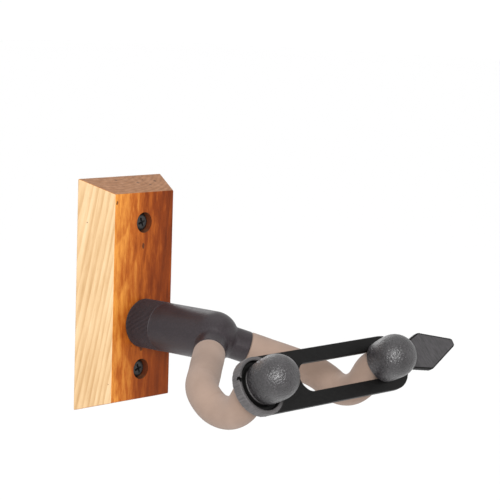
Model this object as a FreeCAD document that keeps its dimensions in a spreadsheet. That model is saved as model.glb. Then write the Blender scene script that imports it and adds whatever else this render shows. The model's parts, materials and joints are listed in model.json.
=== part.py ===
import FreeCAD, Part
import math
import os
import Sketcher

# Wall guitar hanger: a bevelled hardwood block carries a swivelling yoke with two foam-padded
# arms, and a rubber strap closes the gap between the arm tips.
# Model frame: origin on the yoke's swivel axis in the plane of the wall, +X to the right seen
# from the room, +Y into the wall, +Z up. Lengths are in millimetres, angles in degrees.

DIMENSIONS = {
    # hardwood block, a frustum with all four sides bevelled
    "block_thickness": 19.05,
    "block_back_width": 58.9,
    "block_front_width": 41.3,
    "block_back_top": 74.3,
    "block_back_bottom": 45.3,
    "block_front_top": 67.4,
    "block_front_bottom": 39.7,
    "block_edge_round": 0.5,
    # wall screws
    "screw_upper_rise": 51.9,
    "screw_lower_drop": 24.3,
    "screw_counterbore_dia": 10.6,
    "screw_counterbore_deep": 5.2,
    "screw_hole_dia": 5.0,
    "screw_head_dia": 9.5,
    "screw_head_height": 3.3,
    "screw_crown_dia": 7.6,
    "screw_shank_dia": 4.2,
    "screw_thread_dia": 4.8,
    "screw_long": 41.0,
    "screw_point": 7.0,
    # pivot stack behind and through the block
    "bolt_dia": 7.94,
    "bolt_start": 0.9,
    "bolt_end": 58.0,
    "bolt_head_flats": 12.7,
    "bolt_head_height": 5.3,
    "nut_pocket_dia": 22.0,
    "nut_pocket_deep": 11.5,
    "washer_dia": 19.0,
    "washer_thick": 1.6,
    "spring_washer_dia": 16.0,
    "spring_washer_thick": 1.1,
    "spring_washer_rise": 0.7,
    "nut_flats": 12.7,
    "nut_height": 5.6,
    "nut_collar_dia": 11.8,
    "nut_collar_height": 1.9,
    "insert_dia": 10.2,
    "insert_setback": 0.3,
    "washer_clearance": 0.5,
    "running_clearance": 0.05,
    "bushing_dia": 11.0,
    "flange_dia": 23.0,
    "flange_thick": 1.0,
    # ribbed collar and yoke hub
    "collar_dia": 25.2,
    "collar_long": 16.0,
    "collar_rib_count": 120,
    "collar_groove_deep": 0.3,
    "collar_groove_wide": 0.44,
    "hub_dia": 25.0,
    "boss_dia": 16.0,
    "boss_reach": 18.0,
    "boss_root_round": 2.0,
    "boss_rim_round": 0.6,
    "socket_start": 6.0,
    # padded arms
    "arm_root": 70.0,
    "arm_spread": 41.0,
    "arm_dip": 29.0,
    "arm_climb": 57.0,
    "arm_tip": 29.0,
    "spread_run": 47.65,
    "shoulder_radius": 21.0,
    "dip_radius": 16.0,
    "climb_run": 4.0,
    "tip_radius": 14.0,
    "tip_run": 12.0,
    "rod_dia": 8.0,
    "foam_dia": 16.0,
    "foam_bore_dia": 8.2,
    # end caps
    "cap_dia": 21.6,
    "cap_base": 8.5,
    "cap_base_dia": 20.2,
    "cap_rim_round": 0.7,
    "cap_dome_start": 1.1,
    "cap_socket": 2.0,
    # rubber strap
    "strap_thick": 3.0,
    "strap_width": 28.0,
    "strap_gap": 1.4,
    "strap_edge_round": 0.5,
    "ring_back": 14.0,
    "ring_front": 9.0,
    "cup_floor": 11.9,
    "ring_lip_inner_dia": 24.4,
    "notch_rise": 4.6,
    "notch_half_wide": 1.3,
    "notch_bite": 0.9,
    "notch_deep": 2.2,
    "ring_bore_dia": 16.6,
    "stub_reach": 15.5,
    "loop_start": 15.8,
    "loop_end_reach": 7.5,
    "slot_start": 27.8,
    "slot_width": 14.2,
    "slot_eye_dia": 16.8,
    "tab_overlap": 1.0,
    "tab_angle": 8.8,
    "tab_rise": 2.2,
    "tab_neck_half": 6.5,
    "tab_neck_reach": 3.0,
    "tab_shoulder_half": 10.0,
    "tab_shoulder_reach": 15.5,
    "tab_reach": 36.7,
    "tab_tip_half": 1.9,
    "tab_corner_round": 2.4,
    "tab_tip_round": 1.4,
}


class Size:
    """A number together with the spreadsheet expression that gives it."""

    def __init__(self, value, text):
        self.value = value
        self.text = text

    def _with(self, other, sign, result):
        text = other.text if isinstance(other, Size) else repr(other)
        return Size(result, f"({self.text} {sign} {text})")

    def __add__(self, other):
        return self._with(other, "+", self.value + number(other))

    def __sub__(self, other):
        return self._with(other, "-", self.value - number(other))

    def __mul__(self, other):
        return self._with(other, "*", self.value * number(other))

    def __truediv__(self, other):
        return self._with(other, "/", self.value / number(other))

    def __neg__(self):
        return Size(-self.value, f"(0 - {self.text})")


def number(size):
    return size.value if isinstance(size, Size) else float(size)


def fixed(value):
    return Size(value, repr(value))


def cosine(angle):
    return Size(math.cos(math.radians(angle.value)), f"cos({angle.text} * 1 deg)")


def sine(angle):
    return Size(math.sin(math.radians(angle.value)), f"sin({angle.text} * 1 deg)")


class Sizes:
    """The dimension sheet, read as attributes: sizes.rod_dia is a Size."""

    def __init__(self, document):
        sheet = document.addObject("Spreadsheet::Sheet", "dimensions")
        for row, (name, value) in enumerate(DIMENSIONS.items(), start=1):
            sheet.set(f"A{row}", name)
            sheet.set(f"B{row}", str(value))
            sheet.setAlias(f"B{row}", name)
        document.recompute()
        for name in DIMENSIONS:
            setattr(self, name, Size(float(getattr(sheet, name)), f"dimensions.{name}"))


document = FreeCAD.newDocument("guitar_hanger")
sizes = Sizes(document)
ZERO = fixed(0.0)
nodes = []

# Pieces on the swivel axis are drawn with local +Z pointing out of the wall and local +Y up.
OUT_OF_WALL = FreeCAD.Rotation(FreeCAD.Vector(1, 0, 0), 90)


def bind(target, name, size):
    """Set one property of a feature and tie it to the sheet."""
    if isinstance(size, Size):
        setattr(target, name, size.value)
        target.setExpression(name, size.text)
    else:
        setattr(target, name, size)


def new_body(label, placement=None):
    body = document.addObject("PartDesign::Body", label)
    body.Label = label
    body.Placement = placement or FreeCAD.Placement(FreeCAD.Vector(), OUT_OF_WALL)
    nodes.append(body)
    return body


def origin_feature(body, role):
    return next(item for item in body.Origin.OriginFeatures if item.Role == role)


def new_sketch(body, name, plane="XY_Plane", height=ZERO):
    sketch = body.newObject("Sketcher::SketchObject", f"{body.Label}_{name}")
    sketch.AttachmentSupport = [(origin_feature(body, plane), "")]
    sketch.MapMode = "FlatFace"
    bind_offset(sketch, "z", height)
    return sketch


def bind_offset(sketch, axis, size):
    base = FreeCAD.Vector(sketch.AttachmentOffset.Base)
    setattr(base, axis, number(size))
    sketch.AttachmentOffset = FreeCAD.Placement(base, sketch.AttachmentOffset.Rotation)
    if number(size):
        sketch.setExpression(f"AttachmentOffset.Base.{axis}", size.text)


def pin(sketch, geometry, point, axis, size):
    """Fix one coordinate of a sketch point: to the axis when zero, else to the sheet."""
    if number(size) == 0:
        on_axis = -2 if axis == "x" else -1
        sketch.addConstraint(Sketcher.Constraint("PointOnObject", geometry, point, on_axis))
        return
    kind = "DistanceX" if axis == "x" else "DistanceY"
    index = sketch.addConstraint(Sketcher.Constraint(kind, -1, 1, geometry, point, number(size)))
    sketch.setExpression(f"Constraints[{index}]", size.text)


def draw_profile(sketch, points):
    """Closed outline through (x, y) points. A third entry (centre x, centre y, fixed axis,
    turn) makes the side that follows the point an arc about that centre."""
    places = [FreeCAD.Vector(number(p[0]), number(p[1]), 0) for p in points]
    ends = []
    for index, point in enumerate(points):
        start = places[index]
        finish = places[(index + 1) % len(points)]
        if len(point) == 2:
            geometry = sketch.addGeometry(Part.LineSegment(start, finish), False)
            ends.append((geometry, 1, 2))
            continue
        centre_x, centre_y, fixed, turn = point[2]
        centre = FreeCAD.Vector(number(centre_x), number(centre_y), 0)
        radius = (start - centre).Length
        angles = [math.atan2(v.y - centre.y, v.x - centre.x) for v in (start, finish)]
        if turn < 0:
            angles.reverse()
        circle = Part.Circle(centre, FreeCAD.Vector(0, 0, 1), radius)
        geometry = sketch.addGeometry(Part.ArcOfCircle(circle, *angles), False)
        ends.append((geometry, 1, 2) if turn > 0 else (geometry, 2, 1))
        pin(sketch, geometry, 3, fixed, centre_x if fixed == "x" else centre_y)
    for index, (geometry, _, finish) in enumerate(ends):
        follower, begin, _ = ends[(index + 1) % len(ends)]
        sketch.addConstraint(
            Sketcher.Constraint("Coincident", geometry, finish, follower, begin))
    for (geometry, begin, _), point in zip(ends, points):
        pin(sketch, geometry, begin, "x", point[0])
        pin(sketch, geometry, begin, "y", point[1])
    return sketch


def draw_circle(sketch, diameter, x=ZERO, y=ZERO):
    centre = FreeCAD.Vector(number(x), number(y), 0)
    normal = FreeCAD.Vector(0, 0, 1)
    geometry = sketch.addGeometry(Part.Circle(centre, normal, number(diameter) / 2), False)
    pin(sketch, geometry, 3, "x", x)
    pin(sketch, geometry, 3, "y", y)
    index = sketch.addConstraint(Sketcher.Constraint("Diameter", geometry, number(diameter)))
    sketch.setExpression(f"Constraints[{index}]", diameter.text)
    return sketch


def rectangle(half_width, bottom, top):
    return [(-half_width, bottom), (half_width, bottom), (half_width, top), (-half_width, top)]


def revolve(body, name, points):
    """Turn a profile of (radius, height) points about the body's local Z axis."""
    sketch = draw_profile(new_sketch(body, f"{name}_profile", "XZ_Plane"), points)
    feature = body.newObject("PartDesign::Revolution", f"{body.Label}_{name}")
    feature.Profile = sketch
    feature.ReferenceAxis = (sketch, ["V_Axis"])
    feature.Angle = 360
    return feature


def pad(body, name, sketch, length):
    feature = body.newObject("PartDesign::Pad", f"{body.Label}_{name}")
    feature.Profile = sketch
    bind(feature, "Length", length)
    return feature


def pocket_outward(body, name, sketch, length):
    """Cut from the sketch plane towards local +Z."""
    feature = body.newObject("PartDesign::Pocket", f"{body.Label}_{name}")
    feature.Profile = sketch
    feature.Reversed = True
    bind(feature, "Length", length)
    return feature


def dress(body, kind, name, size, wanted):
    """Fillet or chamfer every edge of the body's last feature that wanted(edge) accepts."""
    document.recompute()
    base = body.Tip
    names = [f"Edge{i}" for i, edge in enumerate(base.Shape.Edges, start=1) if wanted(edge)]
    feature = body.newObject(f"PartDesign::{kind}", f"{body.Label}_{name}")
    feature.Base = (base, names)
    bind(feature, "Radius" if kind == "Fillet" else "Size", size)
    body.Tip = feature
    return feature


def at_height(height, tolerance=0.01):
    """Edge test: the whole edge lies in one local Z plane."""
    def test(edge):
        box = edge.BoundBox
        return abs(box.ZMin - number(height)) < tolerance > abs(box.ZMax - number(height))
    return test


def ring_profile(inner_diameter, outer_diameter, low, high):
    inner = inner_diameter / 2
    outer = outer_diameter / 2
    return [(inner, low), (outer, low), (outer, high), (inner, high)]


# ---------------------------------------------------------------- block and its screws


def make_wood_block():
    body = new_body("wood_block")
    side = draw_profile(new_sketch(body, "side_profile", "YZ_Plane"), [
        (-sizes.block_back_bottom, ZERO),
        (sizes.block_back_top, ZERO),
        (sizes.block_front_top, sizes.block_thickness),
        (-sizes.block_front_bottom, sizes.block_thickness),
    ])
    blank = pad(body, "blank", side, sizes.block_back_width)
    blank.Midplane = True
    bevel = draw_profile(new_sketch(body, "bevel_profile", "XZ_Plane"), [
        (sizes.block_back_width / 2, ZERO),
        (sizes.block_back_width / 2, sizes.block_thickness),
        (sizes.block_front_width / 2, sizes.block_thickness),
    ])
    sawcut = body.newObject("PartDesign::Pocket", "wood_block_sawcut")
    sawcut.Profile = bevel
    sawcut.Midplane = True
    bind(sawcut, "Length", (sizes.block_back_top + sizes.block_back_bottom) * 2)
    both = body.newObject("PartDesign::Mirrored", "wood_block_both_bevels")
    both.Originals = [sawcut]
    both.MirrorPlane = (origin_feature(body, "YZ_Plane"), [""])
    body.Tip = both
    dress(body, "Fillet", "sanded_edges", sizes.block_edge_round, lambda edge: True)
    bores = new_sketch(body, "screw_holes")
    counterbores = new_sketch(
        body, "counterbores", height=sizes.block_thickness - sizes.screw_counterbore_deep)
    for height in (sizes.screw_upper_rise, -sizes.screw_lower_drop):
        draw_circle(bores, sizes.screw_hole_dia, y=height)
        draw_circle(counterbores, sizes.screw_counterbore_dia, y=height)
    draw_circle(bores, sizes.bushing_dia)
    pocket_outward(body, "through_holes", bores, sizes.block_thickness)
    pocket_outward(body, "head_recesses", counterbores, sizes.screw_counterbore_deep)
    nut_pocket = draw_circle(new_sketch(body, "nut_pocket"), sizes.nut_pocket_dia)
    pocket_outward(body, "nut_recess", nut_pocket, sizes.nut_pocket_deep)


def make_wall_screw(label, rise):
    """Pan-head wood screw, its head seated on the floor of the counterbore. The threaded
    length starts at the wall and is a little thicker than the plain shank."""
    seat = sizes.block_thickness - sizes.screw_counterbore_deep
    place = FreeCAD.Placement(FreeCAD.Vector(0, 0, number(rise)), OUT_OF_WALL)
    body = new_body(label, place)
    body.setExpression("Placement.Base.z", rise.text)
    shank = sizes.screw_shank_dia / 2
    thread = sizes.screw_thread_dia / 2
    head = sizes.screw_head_dia / 2
    tip = seat - sizes.screw_long
    crown = seat + sizes.screw_head_height
    shoulder = crown - sizes.screw_head_height / 2
    revolve(body, "turned", [
        (ZERO, tip),
        (thread, tip + sizes.screw_point),
        (thread, ZERO),
        (shank, ZERO),
        (shank, seat),
        (head, seat),
        (head, shoulder),
        (sizes.screw_crown_dia / 2, crown),
        (ZERO, crown),
    ])


# ---------------------------------------------------------------- pivot stack


def hexagon(flats):
    """Corners of a regular hexagon, two of them on the X axis."""
    corner = flats / math.sqrt(3)
    half = corner / 2
    side = flats / 2
    return [(corner, ZERO), (half, side), (-half, side),
            (-corner, ZERO), (-half, -side), (half, -side)]


def make_pivot_bolt():
    body = new_body("pivot_bolt")
    head_sketch = draw_profile(
        new_sketch(body, "head", height=sizes.bolt_end), hexagon(sizes.bolt_head_flats))
    pad(body, "hex_head", head_sketch, sizes.bolt_head_height)
    shank_sketch = draw_circle(
        new_sketch(body, "shank", height=sizes.bolt_start), sizes.bolt_dia)
    pad(body, "round_shank", shank_sketch, sizes.bolt_end - sizes.bolt_start)


def make_washers():
    floor = sizes.nut_pocket_deep
    washer_top = floor - sizes.washer_thick
    revolve(new_body("rear_washer"), "ring", ring_profile(
        sizes.bolt_dia + sizes.washer_clearance, sizes.washer_dia, washer_top, floor))
    inner = (sizes.bolt_dia + sizes.washer_clearance) / 2
    outer = sizes.spring_washer_dia / 2
    rim = washer_top - sizes.spring_washer_thick
    revolve(new_body("spring_washer"), "cone", [
        (inner, rim - sizes.spring_washer_rise),
        (outer, rim),
        (outer, washer_top),
        (inner, washer_top - sizes.spring_washer_rise),
    ])


def make_lock_nut():
    """Hex nut with a round collar that is rolled over a nylon locking ring."""
    seat = (sizes.nut_pocket_deep - sizes.washer_thick - sizes.spring_washer_thick
            - sizes.spring_washer_rise)
    hex_back = seat - sizes.nut_height
    collar_back = hex_back - sizes.nut_collar_height
    body = new_body("lock_nut")
    hex_sketch = draw_profile(
        new_sketch(body, "hexagon", height=hex_back), hexagon(sizes.nut_flats))
    pad(body, "hex", hex_sketch, sizes.nut_height)
    collar = draw_circle(new_sketch(body, "collar", height=collar_back), sizes.nut_collar_dia)
    pad(body, "rolled_collar", collar, sizes.nut_collar_height)
    bore = draw_circle(new_sketch(body, "bore", height=collar_back), sizes.bolt_dia)
    pocket_outward(body, "thread_bore", bore, sizes.nut_height + sizes.nut_collar_height)
    groove = draw_circle(new_sketch(body, "groove", height=collar_back), sizes.insert_dia)
    pocket_outward(body, "insert_seat", groove, sizes.nut_collar_height)
    revolve(new_body("lock_nut_insert"), "ring", ring_profile(
        sizes.bolt_dia, sizes.insert_dia, collar_back + sizes.insert_setback, hex_back))


def make_pivot_bushing():
    """Flanged bearing sleeve pressed into the block from the room side."""
    inner = sizes.bolt_dia / 2 + sizes.running_clearance
    outer = sizes.bushing_dia / 2
    flange = sizes.flange_dia / 2
    face = sizes.block_thickness
    revolve(new_body("pivot_bushing"), "sleeve", [
        (inner, sizes.nut_pocket_deep),
        (outer, sizes.nut_pocket_deep),
        (outer, face),
        (flange, face),
        (flange, face + sizes.flange_thick),
        (inner, face + sizes.flange_thick),
    ])


# ---------------------------------------------------------------- collar and hub


def collar_back_face():
    return sizes.block_thickness + sizes.flange_thick + sizes.running_clearance


def make_ribbed_collar():
    """Sleeve against the block, its rim cut all round by fine grooves along the axis."""
    body = new_body("ribbed_collar")
    back = collar_back_face()
    revolve(body, "sleeve", ring_profile(
        sizes.bolt_dia, sizes.collar_dia, back, back + sizes.collar_long))
    rim = sizes.collar_dia / 2
    half = sizes.collar_groove_wide / 2
    groove_sketch = draw_profile(new_sketch(body, "groove", height=back), [
        (rim - sizes.collar_groove_deep, ZERO),
        (rim + sizes.collar_groove_deep, -half * 2),
        (rim + sizes.collar_groove_deep, half * 2),
    ])
    groove = pocket_outward(body, "groove_cut", groove_sketch, sizes.collar_long)
    pattern = body.newObject("PartDesign::PolarPattern", "ribbed_collar_grooves")
    pattern.Originals = [groove]
    pattern.Axis = (origin_feature(body, "Z_Axis"), [""])
    pattern.Angle = 360
    bind(pattern, "Occurrences", Size(int(sizes.collar_rib_count.value),
                                      sizes.collar_rib_count.text))
    body.Tip = pattern


def arm_directions(side):
    """Unit vectors of the tilted plane that an arm spreads in: sideways, and forward-down."""
    dip = math.radians(number(sizes.arm_dip))
    sideways = FreeCAD.Vector(side, 0, 0)
    forward = FreeCAD.Vector(0, -math.cos(dip), -math.sin(dip))
    return sideways, forward


def arm_heading(side):
    spread = math.radians(number(sizes.arm_spread))
    sideways, forward = arm_directions(side)
    return sideways * math.cos(spread) + forward * math.sin(spread)


def arm_half_span():
    """Distance of each arm's tip from the middle."""
    return (cosine(sizes.arm_spread) * sizes.spread_run
            + sizes.shoulder_radius - sine(sizes.arm_spread) * sizes.shoulder_radius)


def arm_root():
    return FreeCAD.Vector(0, -number(sizes.arm_root), 0)


def make_yoke_hub():
    """Moulded stem with a ball end. Two bosses lead the arm rods out of the ball."""
    body = new_body("yoke_hub")
    back = collar_back_face() + sizes.collar_long
    bore = sizes.bolt_dia / 2
    outer = sizes.hub_dia / 2
    revolve(body, "stem_and_ball", [
        (bore, back),
        (outer, back),
        (outer, sizes.arm_root, (ZERO, sizes.arm_root, "x", 1)),
        (ZERO, sizes.arm_root + outer),
        (ZERO, sizes.bolt_end),
        (bore, sizes.bolt_end),
    ])
    for side, hand in ((-1, "left"), (1, "right")):
        arm_cylinder(body, "AdditiveCylinder", f"{hand}_boss", side, sizes.boss_dia, ZERO)
    dress(body, "Fillet", "boss_roots", sizes.boss_root_round, is_boss_root)
    dress(body, "Fillet", "boss_rims", sizes.boss_rim_round, is_boss_rim)
    for side, hand in ((-1, "left"), (1, "right")):
        arm_cylinder(body, "SubtractiveCylinder", f"{hand}_socket", side, sizes.rod_dia,
                     sizes.socket_start)
    head = draw_profile(
        new_sketch(body, "head", height=sizes.bolt_end), hexagon(sizes.bolt_head_flats))
    pocket_outward(body, "head_seat", head, sizes.bolt_head_height)


def arm_cylinder(body, kind, name, side, diameter, start):
    """Cylinder along an arm's first run, from a distance out to the end of the boss."""
    to_body = OUT_OF_WALL.inverted()
    heading = to_body.multVec(arm_heading(side))
    root = to_body.multVec(arm_root())
    feature = body.newObject(f"PartDesign::{kind}", f"{body.Label}_{name}")
    bind(feature, "Radius", diameter / 2)
    bind(feature, "Height", sizes.boss_reach - start)
    turn = FreeCAD.Rotation(FreeCAD.Vector(0, 0, 1), heading)
    feature.Placement = FreeCAD.Placement(root + heading * number(start), turn)
    return feature


def is_boss_root(edge):
    """The curve where a boss leaves the ball: it lies on the ball, away from the equator."""
    if edge.Degenerated:
        return False
    root = FreeCAD.Vector(0, 0, number(sizes.arm_root))
    places = [edge.valueAt(t) for t in edge.ParameterRange]
    on_ball = all(
        abs((place - root).Length - number(sizes.hub_dia) / 2) < 0.01 for place in places)
    return on_ball and edge.Length > 1.0 and not at_height(sizes.arm_root)(edge)


def is_boss_rim(edge):
    """The outer edge of a boss's end: a circle about one of the arms."""
    circle = getattr(edge, "Curve", None) if not edge.Degenerated else None
    if not isinstance(circle, Part.Circle):
        return False
    ends = [OUT_OF_WALL.inverted().multVec(arm_root() + arm_heading(side)
                                           * number(sizes.boss_reach)) for side in (-1, 1)]
    return any((circle.Center - end).Length < 0.01 for end in ends)


# ---------------------------------------------------------------- padded arms


def straight(start, heading, length):
    finish = start + heading * length
    return Part.makeLine(start, finish), finish


def bend(start, heading, inward, radius, degrees):
    """Arc that leaves start along heading and turns towards the unit vector inward."""
    centre = start + inward * radius

    def at(angle):
        return centre + (heading * math.sin(angle) - inward * math.cos(angle)) * radius

    turn = math.radians(degrees)
    finish = at(turn)
    edge = Part.Arc(start, at(turn / 2), finish).toShape()
    return edge, finish, heading * math.cos(turn) + inward * math.sin(turn)


def arm_route(side, first, past_tip):
    """Centre line of one arm, from a distance along its first run to past the cap centre.
    It spreads sideways and down, turns forward, dips, climbs and levels off at the cap."""
    sideways, forward = arm_directions(side)
    heading = arm_heading(side)
    spread = number(sizes.arm_spread)
    start = arm_root() + heading * first
    edge, place = straight(start, heading, number(sizes.spread_run) - first)
    edges = [edge]
    inward = forward * math.cos(math.radians(spread)) - sideways * math.sin(
        math.radians(spread))
    edge, place, heading = bend(
        place, heading, inward, number(sizes.shoulder_radius), 90 - spread)
    edges.append(edge)
    up = FreeCAD.Vector(1, 0, 0).cross(heading)
    up = up if up.z > 0 else -up
    edge, place, heading = bend(
        place, heading, up, number(sizes.dip_radius),
        number(sizes.arm_dip) + number(sizes.arm_climb))
    edges.append(edge)
    edge, place = straight(place, heading, number(sizes.climb_run))
    edges.append(edge)
    down = FreeCAD.Vector(1, 0, 0).cross(heading)
    down = down if down.z < 0 else -down
    edge, place, heading = bend(
        place, heading, down, number(sizes.tip_radius),
        number(sizes.arm_climb) - number(sizes.arm_tip))
    edges.append(edge)
    edge, end = straight(place, heading, number(sizes.tip_run) + past_tip)
    edges.append(edge)
    cap_centre = place + heading * number(sizes.tip_run)
    return Part.Wire(edges), start, arm_heading(side), cap_centre


def swept(route, start, heading, diameter):
    circle = Part.Wire(Part.makeCircle(diameter / 2, start, heading))
    return route.makePipeShell([circle], True, True)


def new_feature(label, shape):
    feature = document.addObject("Part::Feature", label)
    feature.Label = label
    feature.Shape = shape
    nodes.append(feature)
    return feature


def make_arm(side, hand):
    """Bent steel rod and the foam tube drawn over it, up to the base of the end cap."""
    route, start, heading, _ = arm_route(
        side, number(sizes.socket_start), number(sizes.cap_socket))
    new_feature(f"{hand}_arm_rod", swept(route, start, heading, number(sizes.rod_dia)))
    route, start, heading, _ = arm_route(
        side, number(sizes.boss_reach), -number(sizes.cap_base))
    foam = swept(route, start, heading, number(sizes.foam_dia))
    hollow = swept(route, start, heading, number(sizes.foam_bore_dia))
    new_feature(f"{hand}_foam_sleeve", foam.cut(hollow))


def tip_placement(side):
    """Frame at a cap's centre: local +Z along the arm's end, local +X to the right."""
    centre = arm_route(side, 0, 0)[3]
    lean = 90 - number(sizes.arm_tip)
    return FreeCAD.Placement(centre, FreeCAD.Rotation(FreeCAD.Vector(1, 0, 0), lean))


def make_end_cap(side, hand):
    """Rubber bullet-nosed cap pushed over the end of the rod."""
    body = new_body(f"{hand}_end_cap", tip_placement(side))
    rod = sizes.rod_dia / 2
    base = sizes.cap_base_dia / 2
    wide = sizes.cap_dia / 2
    flare = sizes.cap_dome_start + sizes.cap_base
    drop = wide - base
    rear_radius = (flare.value ** 2 + drop.value ** 2) / (2 * drop.value)
    rear_centre = (wide - rear_radius, sizes.cap_dome_start, "y", 1)
    revolve(body, "bullet", [
        (ZERO, sizes.cap_socket),
        (rod, sizes.cap_socket),
        (rod, -sizes.cap_base),
        (base, -sizes.cap_base, rear_centre),
        (wide, sizes.cap_dome_start, (ZERO, sizes.cap_dome_start, "x", 1)),
        (ZERO, sizes.cap_dome_start + wide),
    ])
    dress(body, "Fillet", "base_rim", sizes.cap_rim_round, base_rim_of(base))


def base_rim_of(radius):
    """Edge test: the outer circle of a cap's base."""
    def test(edge):
        return at_height(-sizes.cap_base)(edge) and edge.BoundBox.XLength > radius.value
    return test


# ---------------------------------------------------------------- rubber strap


def strap_back():
    return -(sizes.cap_base + sizes.strap_gap + sizes.strap_thick)


def make_strap_ring():
    """Cup-shaped end of the strap, round the base of the left cap, with a stub of the band."""
    body = new_body("strap_ring", tip_placement(-1))
    bore = sizes.ring_bore_dia / 2
    outer = sizes.strap_width / 2
    lip = sizes.ring_lip_inner_dia / 2
    floor = -sizes.cup_floor
    revolve(body, "cup", [
        (bore, -sizes.ring_back),
        (outer, -sizes.ring_back),
        (outer, -sizes.ring_front),
        (lip, -sizes.ring_front),
        (lip, floor),
        (bore, floor),
    ])
    stub = draw_profile(new_sketch(body, "stub", height=strap_back()), [
        (ZERO, -outer),
        (sizes.stub_reach, -outer),
        (sizes.stub_reach, outer),
        (ZERO, outer),
    ])
    pad(body, "band_stub", stub, sizes.strap_thick)
    hollow = draw_circle(new_sketch(body, "hollow", height=floor), sizes.ring_lip_inner_dia)
    pocket_outward(body, "hollow_cut", hollow, sizes.cup_floor - sizes.ring_front)
    arm_hole = draw_circle(
        new_sketch(body, "arm_hole", height=-sizes.ring_back), sizes.ring_bore_dia)
    pocket_outward(body, "arm_hole_cut", arm_hole, sizes.ring_back + floor)
    notch = draw_profile(new_sketch(body, "notch", height=-sizes.ring_front - sizes.notch_deep), [
        (-lip - sizes.notch_bite, sizes.notch_rise - sizes.notch_half_wide),
        (-lip + sizes.notch_bite, sizes.notch_rise - sizes.notch_half_wide),
        (-lip + sizes.notch_bite, sizes.notch_rise + sizes.notch_half_wide),
        (-lip - sizes.notch_bite, sizes.notch_rise + sizes.notch_half_wide),
    ])
    dress(body, "Fillet", "cup_edges", sizes.strap_edge_round, is_cup_edge)
    pocket_outward(body, "lip_notch", notch, sizes.notch_deep)


def is_cup_edge(edge):
    """The round edges at the front and the back of the cup."""
    return at_height(-sizes.ring_back)(edge) or at_height(-sizes.ring_front)(edge)


def make_strap_loop():
    """Flat slotted band that hooks behind the right cap, with a spear-shaped pull tab."""
    body = new_body("strap_loop", tip_placement(-1))
    half = sizes.strap_width / 2
    span = arm_half_span() * 2
    bulge = span + sizes.loop_end_reach
    outline = draw_band_outline(new_sketch(body, "band", height=strap_back()), half, bulge)
    pad(body, "band_pad", outline, sizes.strap_thick)
    tab = new_sketch(body, "tab", height=strap_back())
    tab.AttachmentOffset = FreeCAD.Placement(
        FreeCAD.Vector(number(bulge + half - sizes.tab_overlap), number(sizes.tab_rise),
                       number(strap_back())),
        FreeCAD.Rotation(FreeCAD.Vector(0, 0, 1), number(sizes.tab_angle)))
    draw_profile(tab, [
        (-sizes.tab_neck_reach, -sizes.tab_neck_half),
        (sizes.tab_neck_reach, -sizes.tab_neck_half),
        (sizes.tab_shoulder_reach, -sizes.tab_shoulder_half),
        (sizes.tab_reach, -sizes.tab_tip_half),
        (sizes.tab_reach, sizes.tab_tip_half),
        (sizes.tab_shoulder_reach, sizes.tab_shoulder_half),
        (sizes.tab_neck_reach, sizes.tab_neck_half),
        (-sizes.tab_neck_reach, sizes.tab_neck_half),
    ])
    pad(body, "pull_tab", tab, sizes.strap_thick)
    slot = new_sketch(body, "slot", height=strap_back())
    draw_slot(slot, span)
    pocket_outward(body, "slot_cut", slot, sizes.strap_thick)
    past_band = number(bulge + half + sizes.tab_neck_reach / 2)
    near_tip = number(bulge + half + sizes.tab_reach / 2)

    def is_tab_tip(edge):
        return is_upright(edge) and edge.CenterOfMass.x > near_tip

    def is_tab_corner(edge):
        return is_upright(edge) and past_band < edge.CenterOfMass.x < near_tip

    dress(body, "Fillet", "tab_tip", sizes.tab_tip_round, is_tab_tip)
    dress(body, "Fillet", "tab_corners", sizes.tab_corner_round, is_tab_corner)
    dress(body, "Fillet", "band_edges", sizes.strap_edge_round, is_band_edge)


def is_upright(edge):
    """The edge runs straight through the strap's thickness."""
    box = edge.BoundBox
    return max(box.XLength, box.YLength) < 0.01 < box.ZLength


def is_band_edge(edge):
    """An edge of the band's front or back face, other than at the flexing end."""
    face = strap_back()
    on_face = at_height(face)(edge) or at_height(face + sizes.strap_thick)(edge)
    return on_face and edge.BoundBox.XMax > number(sizes.loop_start) + 0.01


def draw_band_outline(sketch, half, bulge):
    """Band with a square flex end at the left and a half-round end at the right."""
    return draw_profile(sketch, [
        (sizes.loop_start, -half),
        (bulge, -half, (bulge, ZERO, "x", 1)),
        (bulge, half),
        (sizes.loop_start, half),
    ])


def draw_slot(sketch, span):
    """Long slot with a round left end, opening into a round eye that sits on the arm."""
    half = sizes.slot_width / 2
    eye = sizes.slot_eye_dia / 2
    mouth = span - math.sqrt(eye.value ** 2 - half.value ** 2)
    left = sizes.slot_start + half
    draw_profile(sketch, [
        (left, -half),
        (mouth, -half, (span, ZERO, "x", 1)),
        (mouth, half),
        (left, half, (left, ZERO, "x", 1)),
    ])


make_wood_block()
make_wall_screw("upper_wall_screw", sizes.screw_upper_rise)
make_wall_screw("lower_wall_screw", -sizes.screw_lower_drop)
make_pivot_bushing()
make_pivot_bolt()
make_washers()
make_lock_nut()
make_ribbed_collar()
make_yoke_hub()
for arm_side, arm_hand in ((-1, "left"), (1, "right")):
    make_arm(arm_side, arm_hand)
    make_end_cap(arm_side, arm_hand)
make_strap_ring()
make_strap_loop()
document.recompute()

for item in document.Objects:
    if "Invalid" in item.State or "Error" in item.State:
        raise RuntimeError(f"{item.Name} did not compute: {item.State}")

os.makedirs("parts", exist_ok=True)
for node in nodes:
    if node.Shape.isNull() or not node.Shape.isValid():
        raise RuntimeError(f"{node.Label} has no valid shape")
    node.Shape.exportStep(f"parts/{node.Label}.step")
    print(f"{node.Label:20s} {len(node.Shape.Solids)} solid, {node.Shape.Volume:9.1f} mm3")
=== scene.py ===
import json
import math

import bmesh
import bpy
import numpy as np
from mathutils import Matrix, Quaternion, Vector


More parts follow.
